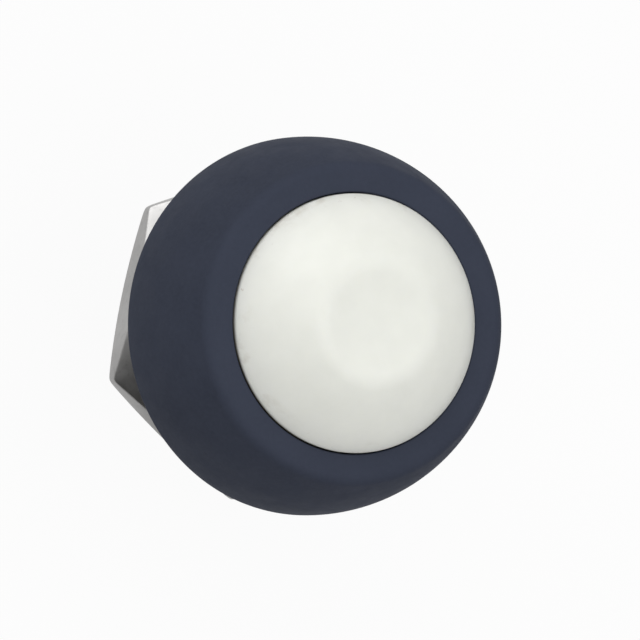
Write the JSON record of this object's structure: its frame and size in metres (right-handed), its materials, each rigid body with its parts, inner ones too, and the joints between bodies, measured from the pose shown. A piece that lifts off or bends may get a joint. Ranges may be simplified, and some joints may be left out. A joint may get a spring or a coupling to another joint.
{
  "type": "pushbutton switch",
  "caption": "Momentary pushbutton switch with a domed white cap in a round black bezel, on a threaded panel bushing with a hexagon nut and two solder lugs.",
  "frame": {"origin": "on the button's axis, in the panel's front face, where the gasket's underside seats", "axes": "+Z along the button's axis, out of the front; the two solder lugs stand in the XZ plane"},
  "size_m": [0.017, 0.017, 0.025],
  "materials": {
    "head_plastic": "fine matte moulded nylon, near-black with a blue cast",
    "cap_plastic": "satin moulded ABS, warm white",
    "nut_plating": "dull plated steel",
    "gasket_rubber": "matt black rubber",
    "seal_rubber": "greased black rubber",
    "plunger_acetal": "natural acetal",
    "spring_steel": "bright spring wire",
    "clip_steel": "phosphated spring steel",
    "contact_brass": "rolled brass strip",
    "contact_silver": "silver contact face",
    "terminal_tin": "tin-plated brass strip",
    "base_plastic": "black glass-filled moulding",
    "potting_resin": "black cast resin"
  },
  "bodies": {
    "switch_body": {"housing": "head_plastic", "terminal_base": "base_plastic", "left_terminal": "terminal_tin", "right_terminal": "terminal_tin", "left_fixed_contact": "contact_silver", "right_fixed_contact": "contact_silver", "potting_seal": "potting_resin", "panel_gasket": "gasket_rubber", "return_spring": "spring_steel"},
    "button": {"button_cap": "cap_plastic", "plunger": "plunger_acetal", "plunger_seal_ring": "seal_rubber", "retaining_clip": "clip_steel", "bridge_retainer": "clip_steel"},
    "bridge": {"contact_bridge": "contact_brass", "left_bridge_contact": "contact_silver", "right_bridge_contact": "contact_silver", "contact_spring": "spring_steel"},
    "nut": {"hex_nut": "nut_plating"}
  },
  "joints": [
    {"name": "button_press", "type": "slide", "parent": "switch_body", "child": "button", "axis": [0, 0, -1], "range_m": [0, 0.0018], "stiffness_N_per_m": 600, "springref_m": -0.0033, "deforming": ["return_spring", "contact_spring"]},
    {"name": "bridge_travel", "type": "slide", "parent": "switch_body", "child": "bridge", "axis": [0, 0, -1], "range_m": [0, 0.001]},
    {"name": "nut_travel", "type": "slide", "parent": "switch_body", "child": "nut", "axis": [0, 0, -1], "range_m": [-0.0004, 0.0045]}
  ],
  "couplings": [
    {"joint": "bridge_travel", "follows": "button_press", "ratio": 0.5555}
  ]
}
